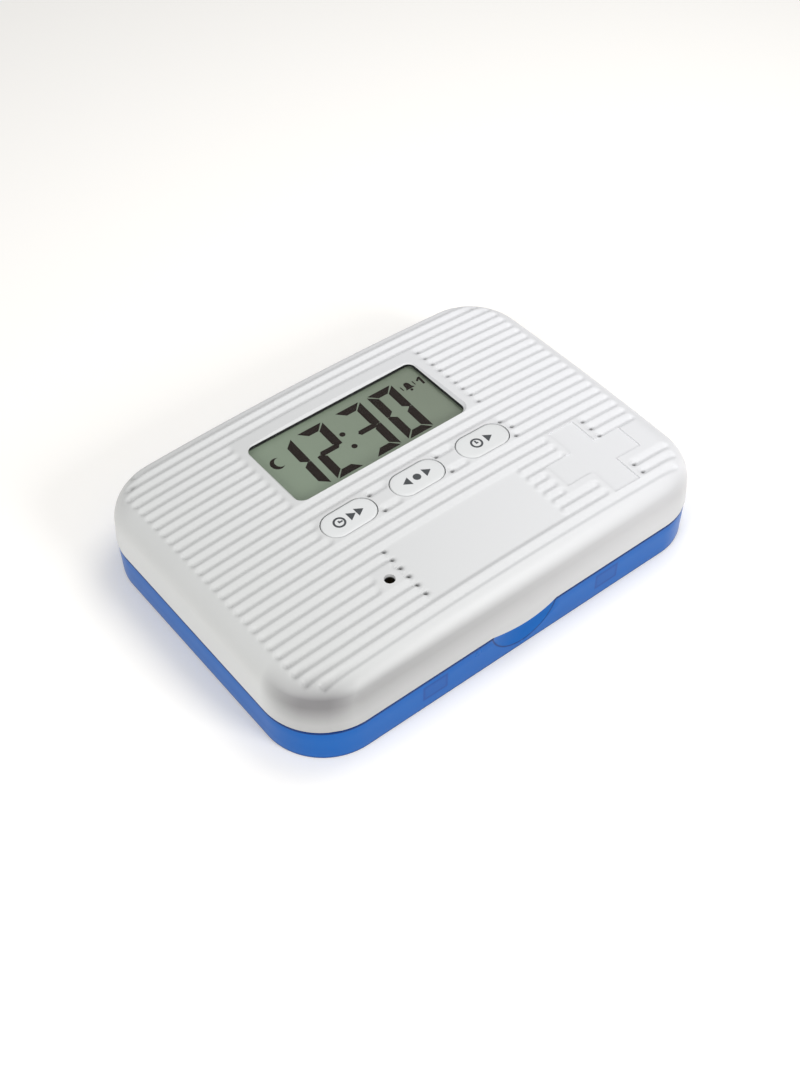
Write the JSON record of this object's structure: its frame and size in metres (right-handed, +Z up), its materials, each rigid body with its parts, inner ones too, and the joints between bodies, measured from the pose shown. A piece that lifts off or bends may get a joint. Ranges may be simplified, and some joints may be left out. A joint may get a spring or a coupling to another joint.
{
  "type": "electronic pill box",
  "caption": "Flat pill box with a ribbed hinged lid that holds an alarm clock display and push buttons, over a translucent tray of pill compartments.",
  "frame": {"origin": "middle of the tray's flat underside, between the side walls and between the front and rear walls", "axes": "+Z up, +X along the long side to the right, +Y towards the hinge, thumb lip at -Y"},
  "size_m": [0.115, 0.0875, 0.0232],
  "materials": {
    "lid_white": "fine matt moulding",
    "plate_white": "fine matt moulding",
    "button_white": "smooth satin moulding",
    "tray_blue": "translucent smooth moulding",
    "lens_clear": "clear polished window",
    "display_glass": "grey-green display glass",
    "display_film": "reflecting film",
    "frame_black": "black moulding",
    "connector_rubber": "layered conductive rubber",
    "board_green": "green varnished laminate",
    "chip_black": "black resin",
    "steel": "plated steel",
    "bright_metal": "nickel plate",
    "disc_brass": "rolled sheet",
    "ceramic_white": "silvered ceramic",
    "lead_red": "thin insulated wire"
  },
  "bodies": {
    "tray": {"base_tray": "tray_blue", "hinge_pins": "steel"},
    "lid": {"lid_cover": "lid_white", "inner_plate": "plate_white", "plate_screws": "steel", "window_lens": "lens_clear", "display_front_glass": "display_glass", "display_rear_glass": "display_glass", "display_reflector": "display_film", "display_frame": "frame_black", "display_connector": "connector_rubber", "circuit_board": "board_green", "board_screws": "steel", "controller_blob": "chip_black", "clock_crystal": "bright_metal", "board_components": "chip_black", "switch_domes": "bright_metal", "buzzer_disc": "disc_brass", "buzzer_ceramic": "ceramic_white", "buzzer_leads": "lead_red", "coin_cell": "bright_metal", "cell_top_contact": "bright_metal", "cell_side_contact": "bright_metal"},
    "hour_key": {"hour_button": "button_white"},
    "mode_key": {"mode_button": "button_white"},
    "minute_key": {"minute_button": "button_white"},
    "door": {"battery_door": "plate_white"}
  },
  "joints": [
    {"name": "lid_hinge", "type": "hinge", "parent": "tray", "child": "lid", "pos_m": [0, 0.0428, 0.00918], "axis": [-1, 0, 0], "range_deg": [0, 110]},
    {"name": "door_turn", "type": "hinge", "parent": "lid", "child": "door", "pos_m": [0.03, -0.022, 0.0128], "axis": [0, 0, 1], "range_deg": [0, 40]},
    {"name": "hour_press", "type": "slide", "parent": "lid", "child": "hour_key", "axis": [0, 0, -1], "range_m": [0, 0.0005], "stiffness_N_per_m": 1200},
    {"name": "mode_press", "type": "slide", "parent": "lid", "child": "mode_key", "axis": [0, 0, -1], "range_m": [0, 0.0005], "stiffness_N_per_m": 1200},
    {"name": "minute_press", "type": "slide", "parent": "lid", "child": "minute_key", "axis": [0, 0, -1], "range_m": [0, 0.0005], "stiffness_N_per_m": 1200}
  ]
}
